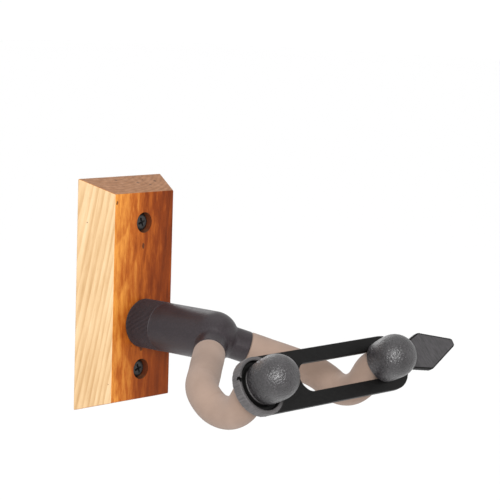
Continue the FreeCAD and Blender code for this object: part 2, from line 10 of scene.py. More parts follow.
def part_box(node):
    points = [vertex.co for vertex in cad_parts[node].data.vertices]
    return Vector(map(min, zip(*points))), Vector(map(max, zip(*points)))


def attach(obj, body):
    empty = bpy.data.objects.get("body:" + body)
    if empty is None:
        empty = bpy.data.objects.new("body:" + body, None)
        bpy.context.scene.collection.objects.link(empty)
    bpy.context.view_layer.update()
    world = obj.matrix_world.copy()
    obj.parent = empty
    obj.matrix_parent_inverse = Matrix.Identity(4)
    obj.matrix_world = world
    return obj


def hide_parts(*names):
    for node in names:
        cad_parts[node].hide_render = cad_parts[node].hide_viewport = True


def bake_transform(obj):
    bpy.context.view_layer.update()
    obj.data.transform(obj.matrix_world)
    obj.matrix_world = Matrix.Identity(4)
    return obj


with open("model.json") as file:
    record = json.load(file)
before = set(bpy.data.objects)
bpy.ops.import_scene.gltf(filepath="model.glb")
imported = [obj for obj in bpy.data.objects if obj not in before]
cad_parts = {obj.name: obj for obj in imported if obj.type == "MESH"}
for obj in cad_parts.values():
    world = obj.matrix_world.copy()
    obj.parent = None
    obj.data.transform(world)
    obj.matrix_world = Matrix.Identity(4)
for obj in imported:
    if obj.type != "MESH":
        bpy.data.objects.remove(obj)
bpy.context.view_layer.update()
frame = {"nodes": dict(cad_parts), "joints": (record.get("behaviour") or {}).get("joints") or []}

# Wall guitar hanger: oiled hardwood block, swivelling yoke with two foam-padded arms, grained
# rubber end caps, and a slotted rubber strap. Metres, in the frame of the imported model:
# +X right seen from the room, +Y into the wall, +Z up.

MM = 0.001
joints = {joint["name"]: joint for joint in frame["joints"]}

# ---------------------------------------------------------------- places read from the frame

TIP_AXIS = Vector(joints["strap_turn"]["axis"]).normalized()
TIP_UP = Vector((1, 0, 0)).cross(TIP_AXIS) * -1
BAND_BEHIND_CAP = 11.4 * MM
LEFT_TIP = Vector(joints["strap_turn"]["pos_m"]) + TIP_AXIS * BAND_BEHIND_CAP
HALF_SPAN = -LEFT_TIP.x
BLOCK_FACE = -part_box("wood_block")[0].y


def tip_frame(side):
    """Matrix of a cap's own frame: +Z along the arm's end, +X to the right, +Y upward."""
    place = Vector((side * HALF_SPAN, LEFT_TIP.y, LEFT_TIP.z))
    columns = (Vector((1, 0, 0)), TIP_UP, TIP_AXIS, place)
    matrix = Matrix.Identity(4)
    for index, column in enumerate(columns):
        for row in range(3):
            matrix[row][index] = column[row]
    return matrix


def axis_frame(height=0.0):
    """Matrix of pieces on the swivel axis: +Z out of the wall, +Y up."""
    return Matrix.Translation((0, 0, height)) @ Matrix.Rotation(math.radians(90), 4, "X")


# ---------------------------------------------------------------- mesh helpers


def new_piece(name, vertices, faces, matrix=None):
    mesh = bpy.data.meshes.new(name)
    mesh.from_pydata([tuple(v) for v in vertices], [], faces)
    mesh.validate()
    if matrix is not None:
        mesh.transform(matrix)
    piece = bpy.data.objects.new(name, mesh)
    bpy.context.scene.collection.objects.link(piece)
    outward(piece)
    return piece


def outward(piece):
    """Make every face look outward and shade it smooth."""
    work = bmesh.new()
    work.from_mesh(piece.data)
    bmesh.ops.recalc_face_normals(work, faces=work.faces)
    work.to_mesh(piece.data)
    work.free()
    piece.data.polygons.foreach_set("use_smooth", [True] * len(piece.data.polygons))
    piece.data.update()


def keep_sharp(piece, degrees=35):
    """Shade smooth but for edges that turn by more than this."""
    piece.data.set_sharp_from_angle(angle=math.radians(degrees))


def rounded(points, radii, steps=6, closed=True):
    """Polyline through 2D points with its corners replaced by arcs of the given radii."""
    result = []
    count = len(points)
    for index, point in enumerate(points):
        here = Vector(point)
        radius = radii[index] if isinstance(radii, (list, tuple)) else radii
        ends = not closed and index in (0, count - 1)
        if ends or radius <= 0:
            result.append(tuple(here))
            continue
        before = (Vector(points[index - 1]) - here)
        after = (Vector(points[(index + 1) % count]) - here)
        angle = before.angle(after)
        if angle > math.radians(179):
            result.append(tuple(here))
            continue
        reach = min(radius / math.tan(angle / 2), before.length * 0.49, after.length * 0.49)
        radius = reach * math.tan(angle / 2)
        middle = (before.normalized() + after.normalized()).normalized()
        centre = here + middle * (radius / math.sin(angle / 2))
        start = here + before.normalized() * reach - centre
        finish = here + after.normalized() * reach - centre
        turn = start.angle_signed(finish) * -1
        for step in range(steps + 1):
            part = turn * step / steps
            cosine, sine = math.cos(part), math.sin(part)
            spoke = Vector((start.x * cosine - start.y * sine, start.x * sine + start.y * cosine))
            result.append(tuple(centre + spoke))
    return result


def lathe(profile, segments, radius_at=None, closed=False):
    """Vertices and faces of a (radius, height) profile turned about Z. radius_at(radius,
    height, angle) may shape the turned radius. Points on the axis become poles."""
    vertices, rows = [], []
    for radius, height in profile:
        if radius < 1e-9:
            rows.append([len(vertices)] * segments)
            vertices.append((0, 0, height))
            continue
        row = []
        for index in range(segments):
            angle = 2 * math.pi * index / segments
            reach = radius_at(radius, height, angle) if radius_at else radius
            row.append(len(vertices))
            vertices.append((reach * math.cos(angle), reach * math.sin(angle), height))
        rows.append(row)
    pairs = list(zip(rows, rows[1:]))
    if closed:
        pairs.append((rows[-1], rows[0]))
    faces = []
    for low, high in pairs:
        for index in range(segments):
            after = (index + 1) % segments
            corners = [low[index], low[after], high[after], high[index]]
            corners = list(dict.fromkeys(corners))
            if len(corners) > 2:
                faces.append(corners)
    return vertices, faces


def tube(points, frames, radius_at, segments):
    """Closed tube along points. frames gives (side, up) at each point, and the radius is
    what radius_at(index, angle) returns."""
    vertices = []
    for index, (point, (side, up)) in enumerate(zip(points, frames)):
        for step in range(segments):
            angle = 2 * math.pi * step / segments
            reach = radius_at(index, angle)
            vertices.append(point + side * reach * math.cos(angle) + up * reach * math.sin(angle))
    faces = []
    rows = len(points)
    for index in range(rows - 1):
        for step in range(segments):
            after = (step + 1) % segments
            faces.append((index * segments + step, index * segments + after,
                          (index + 1) * segments + after, (index + 1) * segments + step))
    faces.append(list(range(segments))[::-1])
    faces.append([(rows - 1) * segments + step for step in range(segments)])
    return vertices, faces


def extrude_outline(outline, low, high):
    """Flat solid: a closed 2D outline pulled from low to high."""
    count = len(outline)
    vertices = [(x, y, low) for x, y in outline] + [(x, y, high) for x, y in outline]
    faces = [list(range(count))[::-1], list(range(count, 2 * count))]
    for index in range(count):
        after = (index + 1) % count
        faces.append((index, after, count + after, count + index))
    return vertices, faces


def apply_modifiers(piece):
    bpy.context.view_layer.update()
    graph = bpy.context.evaluated_depsgraph_get()
    mesh = bpy.data.meshes.new_from_object(piece.evaluated_get(graph))
    piece.modifiers.clear()
    piece.data = mesh
    return piece


def cut(piece, cutter):
    """Take the cutter away from the piece."""
    step = piece.modifiers.new("cut", "BOOLEAN")
    step.operation = "DIFFERENCE"
    step.solver = "EXACT"
    step.object = cutter
    apply_modifiers(piece)
    bpy.data.objects.remove(cutter)
    return piece


# ---------------------------------------------------------------- node helpers


class Paint:
    """A material under construction, with short calls for its nodes."""

    def __init__(self, name, **values):
        self.material = bpy.data.materials.new(name)
        self.material.use_nodes = True
        self.tree = self.material.node_tree
        self.shader = self.tree.nodes["Principled BSDF"]
        for key, value in values.items():
            self.put(value, self.shader.inputs[key.replace("_", " ")])

    def put(self, value, socket):
        if isinstance(value, bpy.types.NodeSocket):
            self.tree.links.new(value, socket)
        elif value is not None:
            socket.default_value = value

    def node(self, kind, inputs=(), output=0, **properties):
        node = self.tree.nodes.new("ShaderNode" + kind)
        for key, value in properties.items():
            setattr(node, key, value)
        for key, value in dict(inputs).items():
            self.put(value, node.inputs[key])
        return node.outputs[output]

    def split(self, vector):
        """The three sockets of a vector's parts."""
        node = self.tree.nodes.new("ShaderNodeSeparateXYZ")
        self.put(vector, node.inputs[0])
        return node.outputs

    def coordinates(self):
        return self.node("TexCoord", output="Object")

    def attribute(self, name):
        return self.node("Attribute", output="Vector", attribute_name=name)

    def scaled(self, vector, scale):
        return self.node("VectorMath", {0: vector, 1: scale}, operation="MULTIPLY")

    def noise(self, vector, scale, detail=4.0, roughness=0.55, distortion=0.0):
        return self.node("TexNoise", {
            "Vector": vector, "Scale": scale, "Detail": detail, "Roughness": roughness,
            "Distortion": distortion}, output="Fac")

    def cells(self, vector, scale, feature="F1", output="Distance", randomness=1.0):
        return self.node("TexVoronoi", {"Vector": vector, "Scale": scale,
                                        "Randomness": randomness},
                         output=output, feature=feature)

    def math(self, operation, a, b=None, c=None, clamp=False):
        inputs = {0: a}
        if b is not None:
            inputs[1] = b
        if c is not None:
            inputs[2] = c
        return self.node("Math", inputs, operation=operation, use_clamp=clamp)

    def fit(self, value, low, high, to_low=0.0, to_high=1.0, smooth=True):
        return self.node("MapRange", {
            "Value": value, "From Min": low, "From Max": high, "To Min": to_low,
            "To Max": to_high}, interpolation_type="SMOOTHSTEP" if smooth else "LINEAR")

    def mix(self, share, a, b, blend="MIX"):
        return self.node("Mix", {0: share, 6: a, 7: b}, output=2, data_type="RGBA",
                         blend_type=blend)

    def ramp(self, value, *stops):
        node = self.tree.nodes.new("ShaderNodeValToRGB")
        elements = node.color_ramp.elements
        while len(elements) < len(stops):
            elements.new(0.5)
        for element, (place, colour) in zip(elements, stops):
            element.position = place
            element.color = (*colour, 1)
        self.put(value, node.inputs[0])
        return node.outputs[0]

    def bump(self, height, distance, strength=1.0, below=None):
        return self.node("Bump", {"Height": height, "Distance": distance,
                                  "Strength": strength, "Normal": below})

    def finish(self, colour=None, roughness=None, normal=None):
        self.put(colour, self.shader.inputs["Base Color"])
        self.put(roughness, self.shader.inputs["Roughness"])
        self.put(normal, self.shader.inputs["Normal"])
        return self.material


# The wood is laid out in millimetres. Its pith runs behind the block, and its fibres are
# stretched along the block's height.
PITH_X, PITH_Y = -14.0, 52.0
SIDE_LEAN, FACE_LEAN = 0.165, 0.045
SIDE_RINGS, FACE_RINGS = 0.40, 0.55
FIBRE_STRETCH = 0.035
FLECKS_PER_MM = 0.16


def wood_paint():
    """Oiled cherry: growth rings round the pith, fibres, dark gum flecks and pores. The left
    side is paler, partly sapwood and partly painted light; painted shade darkens the front to the
    right and towards its lower right and darkens the hole walls, and the sawn ends are browner."""
    paint = Paint("oiled_hardwood")
    place = paint.scaled(paint.coordinates(), (1000, 1000, 1000))
    x, y, z = paint.split(place)
    leaning_y = paint.math("MULTIPLY_ADD", z, SIDE_LEAN, y)
    fibre = paint.node("CombineXYZ", {0: x, 1: leaning_y,
                                      2: paint.math("MULTIPLY", z, FIBRE_STRETCH)})
    drift = paint.noise(fibre, 0.028, detail=2)
    wobble = paint.math("MULTIPLY_ADD", drift, 9.0, -4.5)
    across = paint.math("SUBTRACT", x, PITH_X)

    def late_wood(lean, rings_per_mm):
        """Share of dark late wood, from the distance to a pith that leans with height."""
        deep = paint.math("MULTIPLY_ADD", z, lean, paint.math("SUBTRACT", y, PITH_Y))
        square = paint.math("ADD", paint.math("MULTIPLY", across, across),
                            paint.math("MULTIPLY", deep, deep))
        ring = paint.math("ADD", paint.math("SQRT", square), wobble)
        year = paint.math("FRACT", paint.math("MULTIPLY", ring, rings_per_mm))
        return paint.math("MULTIPLY", paint.fit(year, 0.25, 0.88), paint.fit(year, 1.0, 0.90))

    fine = paint.noise(fibre, 1.6, detail=6, roughness=0.7)
    streak = paint.noise(fibre, 0.34, detail=4, roughness=0.6)
    broad = paint.noise(place, 0.028, detail=3)

    threads = paint.math("ADD", paint.math("MULTIPLY", streak, 0.85),
                         paint.math("MULTIPLY", fine, 0.34))
    face_tone = paint.math("MULTIPLY_ADD", late_wood(FACE_LEAN, FACE_RINGS), 0.10,
                           paint.math("ADD", threads, -0.13))
    late = late_wood(SIDE_LEAN, SIDE_RINGS)
    edge_tone = paint.math("MULTIPLY_ADD", late, 0.20, paint.math("ADD", threads, -0.20))
    across_face = paint.math("ADD", x, paint.math("MULTIPLY", z, -0.03))
    # Painted shade: the front darkens towards the right.
    shaded = paint.fit(across_face, -19.0, 15.0, -0.30, 0.19, smooth=False)
    face_tone = paint.math("ADD", face_tone, shaded)
    heart = paint.ramp(face_tone, (0.08, (0.50, 0.195, 0.034)), (0.34, (0.30, 0.075, 0.009)),
                       (0.58, (0.160, 0.029, 0.003)), (0.90, (0.075, 0.012, 0.002)))
    sapwood_and_painted_light = paint.ramp(edge_tone, (0.15, (0.52, 0.385, 0.245)), (0.40, (0.455, 0.315, 0.175)),
                     (0.66, (0.37, 0.235, 0.115)), (0.95, (0.28, 0.160, 0.070)))
    end = paint.ramp(edge_tone, (0.15, (0.29, 0.145, 0.072)), (0.5, (0.21, 0.098, 0.045)),
                     (0.95, (0.12, 0.048, 0.022)))
    facing_x, facing_y, facing_z = paint.split(paint.node("TexCoord", output="Normal"))
    off_centre = paint.math("ABSOLUTE", x)
    outer_side = paint.fit(off_centre, 18.6, 20.0)
    # Paler left side: partly sapwood, partly painted light from the left.
    left_sapwood_and_painted_light = paint.math("MULTIPLY", paint.fit(facing_x, -0.55, -0.80), outer_side)
    right_side = paint.math("MULTIPLY", paint.fit(facing_x, 0.55, 0.80, 0.0, 0.35), outer_side)
    hole_wall = paint.fit(paint.math("ABSOLUTE", facing_y), 0.25, 0.08)
    # Painted shade: the walls of the holes are darkened.
    painted_hole_shade = paint.math("MULTIPLY", hole_wall, paint.fit(off_centre, 16, 14))
    sawn_end = paint.fit(paint.math("ABSOLUTE", facing_z), 0.60, 0.85)
    height = paint.math("ADD", z, paint.math("MULTIPLY", broad, 90.0))
    # Painted shade: the front darkens further towards its lower right.
    lower_right_painted_shade = paint.math("MULTIPLY", paint.fit(x, -17.0, 2.0),
                        paint.fit(height, 10.0, 75.0, 0.42, 0.0))
    heart = paint.mix(lower_right_painted_shade, heart, (0.13, 0.026, 0.004, 1))
    colour = paint.mix(paint.math("MAXIMUM", left_sapwood_and_painted_light, right_side), heart, sapwood_and_painted_light)
    colour = paint.mix(sawn_end, colour, end)
    colour = paint.mix(paint.math("MULTIPLY", painted_hole_shade, 0.75), colour, (0.060, 0.018, 0.010, 1))

    speck_space = paint.node("CombineXYZ", {0: x, 1: y, 2: paint.math("MULTIPLY", z, 0.55)})
    chosen = paint.node("SeparateColor", {
        0: paint.cells(speck_space, FLECKS_PER_MM, output="Color")})
    speck_size = paint.fit(chosen, 0.50, 1.0, 0.0, 0.19, smooth=False)
    ragged = paint.math("MULTIPLY_ADD", paint.noise(place, 1.3, detail=2), 0.10, -0.05)
    speck = paint.math("ADD", paint.cells(speck_space, FLECKS_PER_MM), ragged)
    fleck_share = paint.math("MULTIPLY", paint.math("LESS_THAN", speck, speck_size), 0.78)
    pore = paint.fit(paint.noise(fibre, 4.2, detail=2), 0.66, 0.74, 0.0, 0.28)
    colour = paint.mix(pore, colour, (0.13, 0.040, 0.012, 1))
    colour = paint.mix(fleck_share, colour, (0.035, 0.014, 0.008, 1))

    rough = paint.fit(streak, 0.3, 0.7, 0.36, 0.50, smooth=False)
    grain = paint.math("ADD", paint.math("MULTIPLY", fine, 0.7), paint.math("MULTIPLY", late, 0.3))
    normal = paint.bump(grain, 0.00012, 0.35)
    paint.put(0.08, paint.shader.inputs["Specular IOR Level"])
    return paint.finish(colour, rough, normal)


def rubber_paint(name, dark, light, cell, depth, rough, shine=0.5):
    """Moulded rubber or plastic with a pebbled grain, cell in metres across. The grain's crests
    are lighter and its valleys darker: partly wear, partly painted shade.
    """
    paint = Paint(name)
    place = paint.coordinates()
    pebble = paint.cells(place, 1 / cell, feature="SMOOTH_F1")
    dimple = paint.noise(place, 0.6 / cell, detail=5, roughness=0.65)
    cloud = paint.noise(place, 60.0, detail=3)
    # Grain tone: lighter crests and darker valleys, partly wear and partly painted shade.
    shade = paint.math("ADD", paint.math("MULTIPLY", dimple, 0.35),
                       paint.math("MULTIPLY", pebble, 0.45))
    shade = paint.math("ADD", paint.math("MULTIPLY", cloud, 0.35), shade)
    colour = paint.mix(paint.fit(shade, 0.38, 0.72), (*dark, 1), (*light, 1))
    height = paint.math("ADD", paint.math("MULTIPLY", pebble, 0.6),
                        paint.math("MULTIPLY", dimple, 0.6))
    normal = paint.bump(height, depth, 1.0)
    roughness = paint.fit(dimple, 0.3, 0.7, rough - 0.07, rough + 0.07, smooth=False)
    paint.put(shine, paint.shader.inputs["Specular IOR Level"])
    return paint.finish(colour, roughness, normal)


def metal_paint(name, colour, rough, scratch=0.10, metallic=1.0, dull=0.6):
    """Plated or blackened steel with fine turning marks and cloudy stains."""
    paint = Paint(name, Metallic=metallic)
    place = paint.coordinates()
    marks = paint.noise(paint.scaled(place, (1, 9, 1)), 900.0, detail=4, roughness=0.7)
    stain = paint.noise(place, 220.0, detail=5, roughness=0.6)
    tarnished = tuple(channel * dull for channel in colour)
    tone = paint.mix(paint.fit(stain, 0.42, 0.70), (*colour, 1), (*tarnished, 1))
    roughness = paint.fit(marks, 0.3, 0.7, rough - scratch, rough + scratch, smooth=False)
    return paint.finish(tone, roughness, paint.bump(marks, 0.00002, 0.4))


def foam_paint():
    """Closed-cell foam: matt taupe skin with fine cells and faint mottling."""
    paint = Paint("closed_cell_foam")
    place = paint.coordinates()
    cells = paint.cells(place, 1500.0, feature="SMOOTH_F1")
    fine = paint.noise(place, 2600.0, detail=4, roughness=0.7)
    cloud = paint.noise(place, 45.0, detail=4)
    colour = paint.mix(paint.fit(cloud, 0.3, 0.7), (0.178, 0.124, 0.096, 1),
                       (0.222, 0.158, 0.124, 1))
    colour = paint.mix(paint.fit(fine, 0.55, 0.75, 0.0, 0.22), colour, (0.125, 0.088, 0.070, 1))
    height = paint.math("ADD", paint.math("MULTIPLY", cells, 0.5),
                        paint.math("MULTIPLY", fine, 0.5))
    paint.put(0.08, paint.shader.inputs["Sheen Weight"])
    paint.put(0.6, paint.shader.inputs["Sheen Roughness"])
    paint.put(0.15, paint.shader.inputs["Specular IOR Level"])
    roughness = paint.fit(cells, 0.0, 0.8, 0.72, 0.86)
    return paint.finish(colour, roughness, paint.bump(height, 0.00006, 0.6))


def collar_paint(ribs):
    """Dark moulded plastic with painted shade down in the grooves between the ribs."""
    paint = Paint("collar_plastic")
    place = paint.coordinates()
    x, _, z = paint.split(place)
    angle = paint.math("ARCTAN2", z, x)
    wave = paint.math("COSINE", paint.math("MULTIPLY", angle, float(ribs)))
    crest_vs_painted_groove_shade = paint.fit(wave, -0.7, 0.8)
    cloud = paint.noise(place, 260.0, detail=4)
    fine = paint.noise(place, 2200.0, detail=3)
    # Painted shade: the grooves between the ribs are darkened, and the crests stay lighter.
    tone = paint.mix(crest_vs_painted_groove_shade, (0.0020, 0.0014, 0.0017, 1), (0.042, 0.0310, 0.0350, 1))
    colour = paint.mix(paint.fit(cloud, 0.35, 0.7, 0.0, 0.35), tone, (0.018, 0.014, 0.016, 1))
    paint.put(0.2, paint.shader.inputs["Specular IOR Level"])
    return paint.finish(colour, paint.fit(fine, 0.3, 0.7, 0.44, 0.58),
                        paint.bump(fine, 0.00002, 0.5))


def strap_paint():
    """Satin moulded rubber. The pull tab is scuffed grey, the cup's wall has fine lines along
    the arm, and the cup's lip carries a painted highlight. It is laid out in the strap's own
    frame, kept as the point attribute rest, and the attribute inset is the distance to the tab's
    outline."""
    paint = Paint("strap_rubber")
    place = paint.attribute("rest")
    x, y, z = paint.split(place)
    fine = paint.noise(place, 1500.0, detail=4, roughness=0.65)
    drawn = paint.noise(paint.scaled(place, (0.12, 1, 1)), 2600.0, detail=4, roughness=0.7)
    wall = paint.noise(paint.scaled(place, (1, 1, 0.08)), 2400.0, detail=3, roughness=0.7)
    slanted = paint.node("VectorRotate", {"Vector": place, "Angle": math.radians(68)},
                         rotation_type="Z_AXIS")
    brushed = paint.noise(paint.scaled(slanted, (0.1, 1, 1)), 2400.0, detail=4, roughness=0.75)
    on_tab = paint.fit(x, TAB_START + 2 * MM, TAB_START + 4 * MM)
    on_front = paint.fit(z, BAND_FRONT - 0.35 * MM, BAND_FRONT - 0.12 * MM)
    inset = paint.node("Attribute", output="Fac", attribute_name="inset")
    on_front = paint.math("MULTIPLY", on_front, paint.fit(inset, 0.5 * MM, 0.95 * MM))
    on_face = paint.math("MULTIPLY", on_tab, on_front)
    square = paint.math("ADD", paint.math("MULTIPLY", x, x), paint.math("MULTIPLY", y, y))
    # Painted highlight: the rim of the cup's lip is painted lighter.
    lip_painted_highlight = paint.math("MULTIPLY", paint.fit(x, 12 * MM, 6 * MM),
                     paint.fit(z, BAND_FRONT, BAND_FRONT + 0.5 * MM))
    outside = paint.fit(paint.math("SQRT", square), BAND_HALF - 0.6 * MM, BAND_HALF - 0.2 * MM)
    outer_wall = paint.math("MULTIPLY", paint.fit(x, 5 * MM, 0.0), outside)
    wall_lines_and_lip_highlight = paint.math("MAXIMUM", lip_painted_highlight, outer_wall)
    colour = paint.mix(paint.fit(drawn, 0.35, 0.68), (0.0018, 0.0017, 0.0017, 1),
                       (0.0048, 0.0045, 0.0044, 1))
    scuffed = paint.mix(paint.fit(brushed, 0.35, 0.65), (0.014, 0.0128, 0.0138, 1),
                        (0.044, 0.0405, 0.0430, 1))
    lip_highlight_and_wall_lines = paint.mix(paint.fit(wall, 0.28, 0.72), (0.030, 0.0275, 0.0280, 1),
                      (0.092, 0.0845, 0.0860, 1))
    colour = paint.mix(paint.math("MULTIPLY", on_face, 0.9), colour, scuffed)
    colour = paint.mix(paint.math("MULTIPLY", wall_lines_and_lip_highlight, 0.85), colour, lip_highlight_and_wall_lines)
    normal = paint.bump(fine, 0.00004, 0.6)
    normal = paint.bump(drawn, 0.00003, 0.5, normal)
    normal = paint.bump(paint.math("MULTIPLY", wall, wall_lines_and_lip_highlight), 0.00005, 0.7, normal)
    normal = paint.bump(paint.math("MULTIPLY", brushed, on_face), 0.00008, 0.8, normal)
    roughness = paint.fit(fine, 0.3, 0.7, 0.46, 0.62, smooth=False)
    shine = paint.fit(paint.math("MAXIMUM", wall_lines_and_lip_highlight, on_face), 0.0, 1.0, 0.10, 0.40)
    paint.put(shine, paint.shader.inputs["Specular IOR Level"])
    return paint.finish(colour, roughness, normal)


# ---------------------------------------------------------------- strap's layout, in its frame

BAND_HALF = 14.0 * MM
BAND_BACK = -12.9 * MM
BAND_FRONT = -9.9 * MM
CUP_BACK = -14.0 * MM
CUP_LIP = -9.0 * MM
CUP_FLOOR = -11.9 * MM
CUP_COLLAR = -9.1 * MM
CUP_INNER = 12.2 * MM
CUP_BORE = 8.3 * MM
NOTCH_DEEP = 2.2 * MM
SPAN = 2 * HALF_SPAN
LOOP_END = SPAN + 7.5 * MM
NECK_START, NECK_END = 13.0 * MM, 24.0 * MM
SLOT_LEFT = 34.9 * MM
SLOT_HALF = 7.1 * MM
EYE = 8.4 * MM
# The soft tab hangs a little lower than the band and bends forward, by TAB_FLEX of its length.
TAB_START = LOOP_END + BAND_HALF
TAB_RISE = 1.1 * MM
TAB_LEAN = math.radians(3.6)
TAB_FLEX = 0.12
TAB_FLEX_EASE = 4 * MM


def arc(centre, radius, start, finish, steps):
    """Points on an arc between two angles in degrees."""
    points = []
    for step in range(steps + 1):
        angle = math.radians(start + (finish - start) * step / steps)
        points.append((centre[0] + radius * math.cos(angle), centre[1] + radius * math.sin(angle)))
    return points


def tab_outline():
    """Spear-shaped outline of the pull tab in the band's plane."""
    corners = [(-4, -6.5), (3, -6.5), (15.5, -10), (36.7, -1.9), (36.7, 1.9), (15.5, 10),
               (3, 6.5), (-4, 6.5)]
    outline = rounded(corners, [0, 2.4, 2.4, 1.4, 1.4, 2.4, 2.4, 0])
    return [(TAB_START + (x * math.cos(TAB_LEAN) - y * math.sin(TAB_LEAN)) * MM,
             TAB_RISE + (x * math.sin(TAB_LEAN) + y * math.cos(TAB_LEAN)) * MM)
            for x, y in outline]


def strap_piece():
    """One moulding: cup, slotted band and pull tab, still with sharp edges."""
    band = arc((0, 0), BAND_HALF, 270, 90, 48) + arc((LOOP_END, 0), BAND_HALF, 90, -90, 48)
    slot = arc((SLOT_LEFT, 0), SLOT_HALF, 270, 90, 32)
    mouth = math.degrees(math.asin(SLOT_HALF / EYE))
    slot += arc((SPAN, 0), EYE, 180 - mouth, -180 + mouth, 48)
    tab = tab_outline()
    solid = new_piece("rubber_strap", *extrude_outline(band, BAND_BACK, BAND_FRONT))
    cup = new_piece("cup", *lathe([(0, CUP_BACK), (BAND_HALF, CUP_BACK), (BAND_HALF, CUP_LIP),
                                   (0, CUP_LIP)], 128))
    pull = new_piece("pull", *extrude_outline(tab, BAND_BACK, BAND_FRONT))
    for extra in (cup, pull):
        step = solid.modifiers.new("join", "BOOLEAN")
        step.operation = "UNION"
        step.solver = "EXACT"
        step.object = extra
    apply_modifiers(solid)
    bpy.data.objects.remove(cup)
    bpy.data.objects.remove(pull)
    cut(solid, new_piece("hollow", *lathe([
        (0, CUP_COLLAR), (CUP_BORE + 1.0 * MM, CUP_COLLAR), (CUP_BORE + 1.5 * MM, CUP_FLOOR),
        (CUP_INNER, CUP_FLOOR), (CUP_INNER, 0), (0, 0)], 128)))
    cut(solid, new_piece("bore", *lathe([
        (0, -20 * MM), (CUP_BORE, -20 * MM), (CUP_BORE, 0), (0, 0)], 128)))
    notch = [(-CUP_INNER + x * MM, (4.6 + y) * MM)
             for x, y in ((-0.9, -1.3), (0.9, -1.3), (0.9, 1.3), (-0.9, 1.3))]
    cut(solid, new_piece("notch", *extrude_outline(notch, CUP_LIP - NOTCH_DEEP, 0)))
    cut(solid, new_piece("opening", *extrude_outline(slot, BAND_BACK - 1 * MM, BAND_FRONT + 1 * MM)))
    return solid


def soften(piece, voxel, rounds):
    """Rebuild the mesh on an even grid and relax it, which rounds every edge alike."""
    remesh = piece.modifiers.new("even", "REMESH")
    remesh.mode = "VOXEL"
    remesh.voxel_size = voxel
    remesh.adaptivity = 0.0
    relax = piece.modifiers.new("relax", "SMOOTH")
    relax.factor = 0.5
    relax.iterations = rounds
    apply_modifiers(piece)
    outward(piece)
    return piece


def keep_layout(piece):
    """Store what the strap's material is laid out in: each point's place, and how far it is
    from the pull tab's outline."""
    count = len(piece.data.vertices)
    places = np.zeros(count * 3, np.float32)
    piece.data.vertices.foreach_get("co", places)
    rest = piece.data.attributes.new("rest", "FLOAT_VECTOR", "POINT")
    rest.data.foreach_set("vector", places)
    outline = np.array(tab_outline())
    along = np.roll(outline, -1, axis=0) - outline
    flat = places.reshape(-1, 3)[:, :2]
    nearest = np.full(count, 1.0)
    for corner, edge in zip(outline, along):
        part = np.clip(((flat - corner) @ edge) / (edge @ edge), 0, 1)
        gap = np.linalg.norm(flat - corner - part[:, None] * edge, axis=1)
        nearest = np.minimum(nearest, gap)
    inset = piece.data.attributes.new("inset", "FLOAT", "POINT")
    inset.data.foreach_set("value", nearest.astype(np.float32))


def flex_tab(piece):
    """Let the soft pull tab lean out of the band's plane, more towards its tip."""
    for vertex in piece.data.vertices:
        past = max(0.0, vertex.co.x - TAB_START)
        vertex.co.z += TAB_FLEX * past ** 2 / (past + TAB_FLEX_EASE)


strap = soften(strap_piece(), voxel=0.4 * MM, rounds=3)
keep_layout(strap)
flex_tab(strap)
strap.data.transform(tip_frame(-1))
strap.data.materials.append(strap_paint())
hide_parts("strap_ring", "strap_loop")
flex_start = tip_frame(-1) @ Vector((NECK_START, 0, -BAND_BEHIND_CAP))
flex_end = tip_frame(-1) @ Vector((NECK_END, 0, -BAND_BEHIND_CAP))
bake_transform(strap)


# ---------------------------------------------------------------- end caps


def end_cap(side, hand):
    """Bullet-nosed cap with a rolled base rim and a blind bore for the rod."""
    steps = 40
    base, wide, bore = 10.1 * MM, 10.8 * MM, 4.0 * MM
    start, dome = -8.5 * MM, 1.1 * MM
    rolled = 0.7 * MM
    profile = [(0.0, 0.0), (bore, 0.0), (bore, start), (base - rolled, start)]
    drop = wide - base
    rise = dome - start
    radius = (rise ** 2 + drop ** 2) / (2 * drop)
    for step in range(steps + 1):
        height = start + rise * step / steps
        reach = wide - radius + math.sqrt(radius ** 2 - (dome - height) ** 2)
        rim = max(0.0, 1 - (height - start) / rolled)
        reach -= rolled * (1 - math.sqrt(max(0.0, 1 - rim ** 2)))
        profile.append((reach, height))
    for step in range(1, steps + 1):
        angle = math.radians(90 * step / steps)
        profile.append((wide * math.cos(angle), dome + wide * math.sin(angle)))
    profile[-1] = (0, dome + wide)
    cap = new_piece(f"{hand}_bullet_cap", *lathe(profile, 128), tip_frame(side))
    cap.data.materials.append(cap_rubber)
    keep_sharp(cap, 60)
    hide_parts(f"{hand}_end_cap")
    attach(cap, "yoke")


cap_rubber = rubber_paint("cap_rubber", (0.0070, 0.0062, 0.0068), (0.0250, 0.0222, 0.0240),
                          0.65 * MM, 0.00040, 0.31, shine=0.58)
for cap_side, cap_hand in ((-1, "left"), (1, "right")):
    end_cap(cap_side, cap_hand)


# ---------------------------------------------------------------- foam sleeves

ARM_ROOT = 70.0 * MM
SPREAD, DIP, CLIMB, TIP = (math.radians(angle) for angle in (41, 29, 57, 29))
SPREAD_RUN, CLIMB_RUN, TIP_RUN = 47.65 * MM, 4.0 * MM, 12 * MM
SHOULDER_RADIUS, DIP_RADIUS, TIP_RADIUS = 21 * MM, 16 * MM, 14 * MM
LINE_STEP = 0.6 * MM
FOAM_RADIUS = 8.0 * MM
FOAM_START = 18.0 * MM
FOAM_END = 8.5 * MM
FOAM_END_ROUND = 0.9 * MM
FOAM_WRINKLE = 0.10 * MM
FOAM_WAVE = 0.022 * MM
WRINKLE_PITCH = 1.9 * MM


